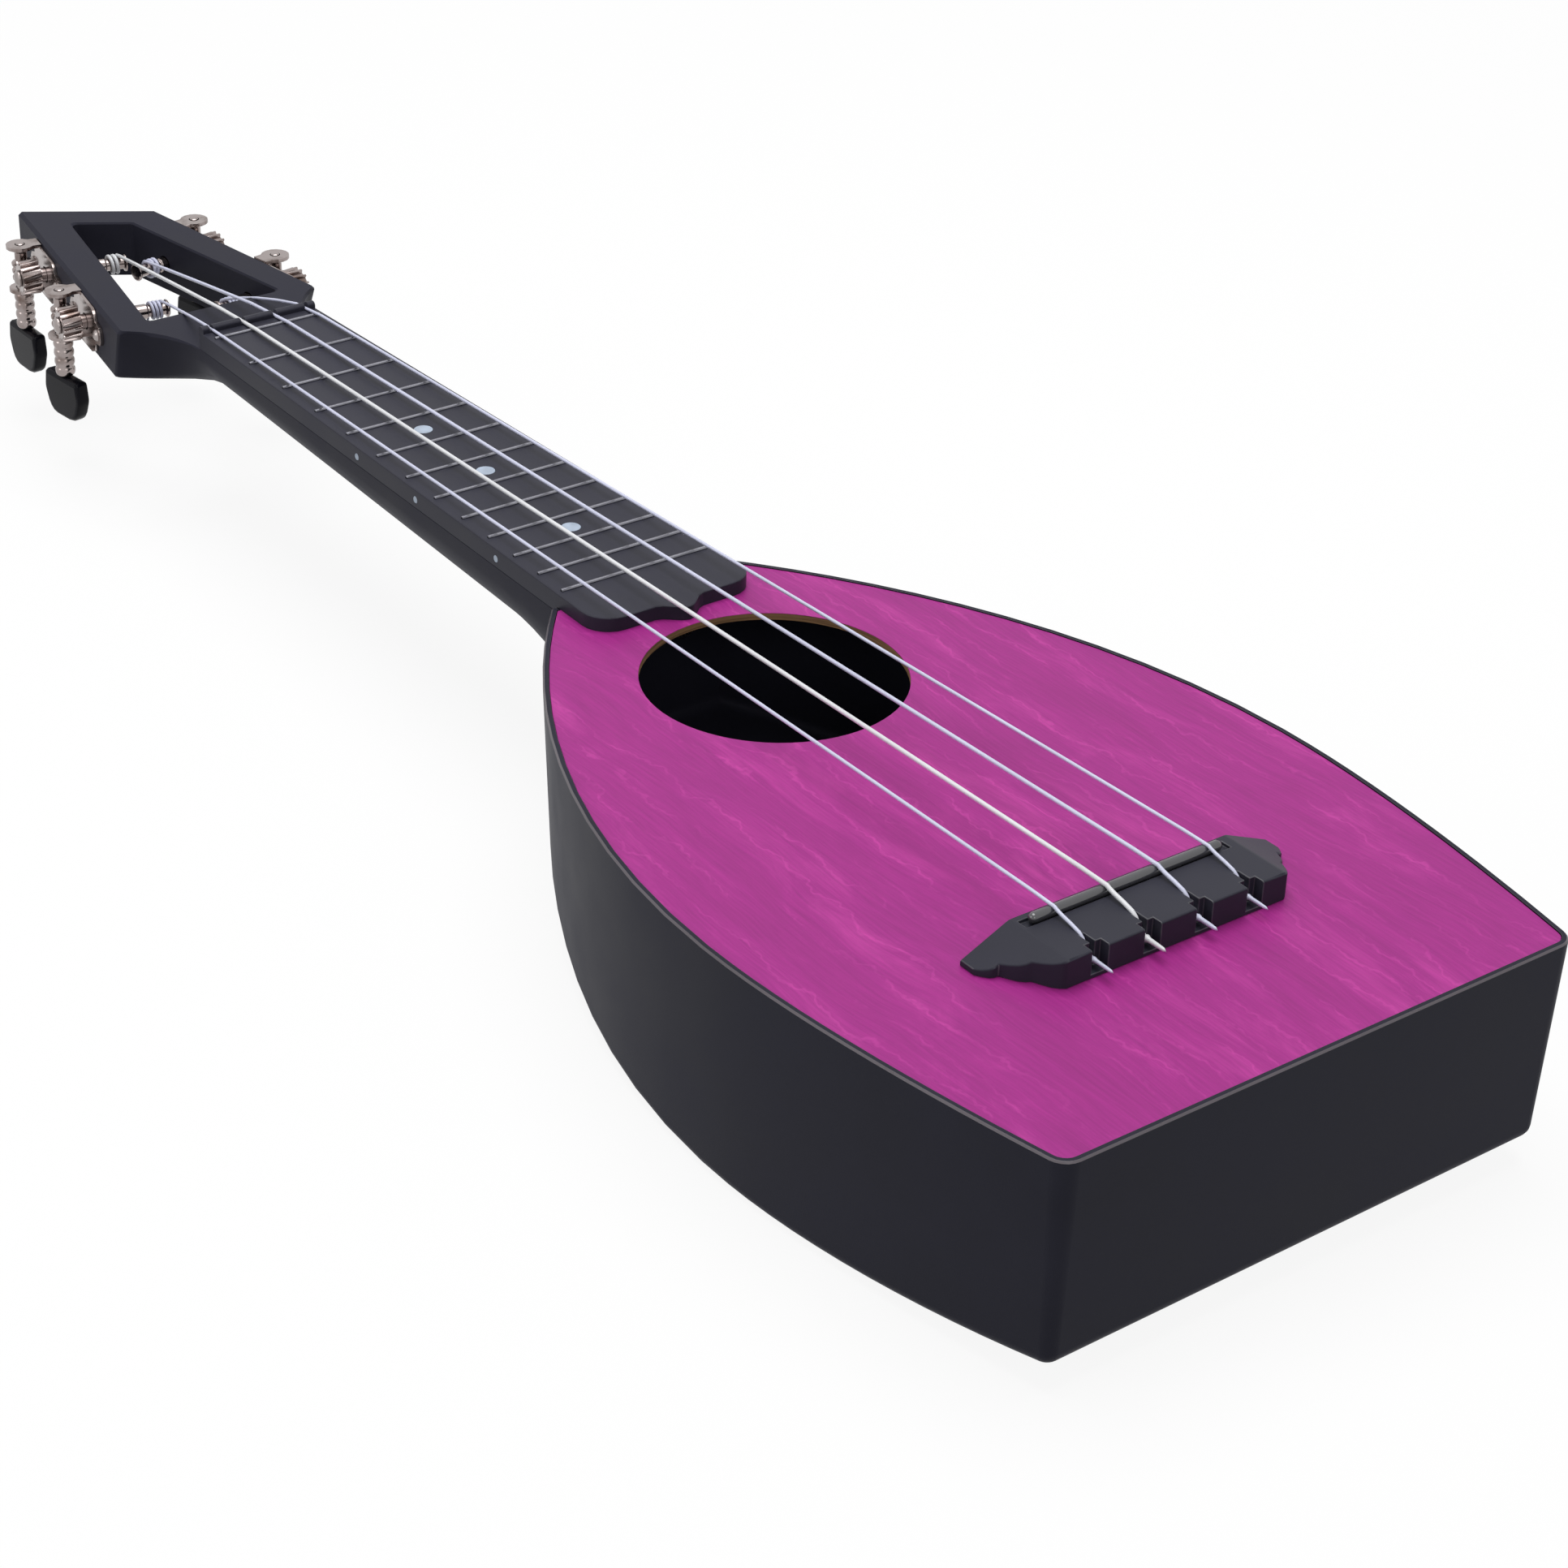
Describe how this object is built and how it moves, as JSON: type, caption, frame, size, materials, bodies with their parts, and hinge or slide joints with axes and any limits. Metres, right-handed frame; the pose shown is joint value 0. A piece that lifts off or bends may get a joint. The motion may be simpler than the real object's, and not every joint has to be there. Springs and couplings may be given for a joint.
{
  "type": "soprano ukulele",
  "caption": "Soprano ukulele with a flat-tailed moulded shell, stained wooden top, fretted neck and a slotted headstock with geared tuners.",
  "frame": {"origin": "middle of the overall length and width, at the lowest point of the arched back", "axes": "+Y from the tail towards the headstock, +Z out of the soundboard, +X to the right for someone who looks from the tail at the soundboard"},
  "size_m": [0.1564, 0.5234, 0.0636],
  "materials": {
    "black_plastic": "matte, fine moulded grain",
    "stained_veneer": "satin magenta stain with open figure",
    "brace_wood": "bare",
    "nickel": "nickel plate",
    "steel": "plain",
    "fret_metal": "polished",
    "pale_dot": "smooth",
    "nylon": "clear, faint violet"
  },
  "bodies": {
    "instrument": {"body_shell": "black_plastic", "soundboard": "stained_veneer", "upper_brace": "brace_wood", "lower_brace": "brace_wood", "bridge_plate": "brace_wood", "neck": "black_plastic", "neck_bolt_left": "steel", "neck_bolt_right": "steel", "fretboard": "black_plastic", "zero_fret": "fret_metal", "fret_01": "fret_metal", "fret_02": "fret_metal", "fret_03": "fret_metal", "fret_04": "fret_metal", "fret_05": "fret_metal", "fret_06": "fret_metal", "fret_07": "fret_metal", "fret_08": "fret_metal", "fret_09": "fret_metal", "fret_10": "fret_metal", "fret_11": "fret_metal", "fret_12": "fret_metal", "top_dot_05": "pale_dot", "top_dot_07": "pale_dot", "top_dot_10": "pale_dot", "side_dot_05": "pale_dot", "side_dot_07": "pale_dot", "side_dot_10": "pale_dot", "bridge": "black_plastic", "saddle_rod": "black_plastic", "string_g": "nylon", "string_c": "nylon", "string_e": "nylon", "string_a": "nylon", "tuner_g_plate": "nickel", "tuner_c_plate": "nickel", "tuner_e_plate": "nickel", "tuner_a_plate": "nickel"},
    "button_g": {"tuner_g_worm": "nickel", "tuner_g_button": "black_plastic"},
    "post_g": {"tuner_g_gear": "nickel", "tuner_g_post": "nickel", "tuner_g_screw": "steel"},
    "button_c": {"tuner_c_worm": "nickel", "tuner_c_button": "black_plastic"},
    "post_c": {"tuner_c_gear": "nickel", "tuner_c_post": "nickel", "tuner_c_screw": "steel"},
    "button_e": {"tuner_e_worm": "nickel", "tuner_e_button": "black_plastic"},
    "post_e": {"tuner_e_gear": "nickel", "tuner_e_post": "nickel", "tuner_e_screw": "steel"},
    "button_a": {"tuner_a_worm": "nickel", "tuner_a_button": "black_plastic"},
    "post_a": {"tuner_a_gear": "nickel", "tuner_a_post": "nickel", "tuner_a_screw": "steel"}
  },
  "joints": [
    {"name": "turn_g", "type": "hinge", "parent": "instrument", "child": "button_g", "pos_m": [-0.03055, 0.20513, 0.0463], "axis": [0, 0, 1], "continuous": true},
    {"name": "wind_g", "type": "hinge", "parent": "instrument", "child": "post_g", "pos_m": [-0.02606, 0.1973, 0.0463], "axis": [-0.9867, 0.1623, 0], "continuous": true},
    {"name": "turn_c", "type": "hinge", "parent": "instrument", "child": "button_c", "pos_m": [-0.02453, 0.24173, 0.0463], "axis": [0, 0, 1], "continuous": true},
    {"name": "wind_c", "type": "hinge", "parent": "instrument", "child": "post_c", "pos_m": [-0.02004, 0.2339, 0.0463], "axis": [-0.9867, 0.1623, 0], "continuous": true},
    {"name": "turn_e", "type": "hinge", "parent": "instrument", "child": "button_e", "pos_m": [0.02601, 0.23273, 0.0463], "axis": [0, 0, 1], "continuous": true},
    {"name": "wind_e", "type": "hinge", "parent": "instrument", "child": "post_e", "pos_m": [0.02152, 0.2249, 0.0463], "axis": [0.9867, 0.1623, 0], "continuous": true},
    {"name": "turn_a", "type": "hinge", "parent": "instrument", "child": "button_a", "pos_m": [0.03203, 0.19613, 0.0463], "axis": [0, 0, 1], "continuous": true},
    {"name": "wind_a", "type": "hinge", "parent": "instrument", "child": "post_a", "pos_m": [0.02754, 0.1883, 0.0463], "axis": [0.9867, 0.1623, 0], "continuous": true}
  ],
  "couplings": [
    {"joint": "wind_g", "follows": "turn_g", "ratio": -0.071429},
    {"joint": "wind_c", "follows": "turn_c", "ratio": -0.071429},
    {"joint": "wind_e", "follows": "turn_e", "ratio": -0.071429},
    {"joint": "wind_a", "follows": "turn_a", "ratio": -0.071429}
  ]
}
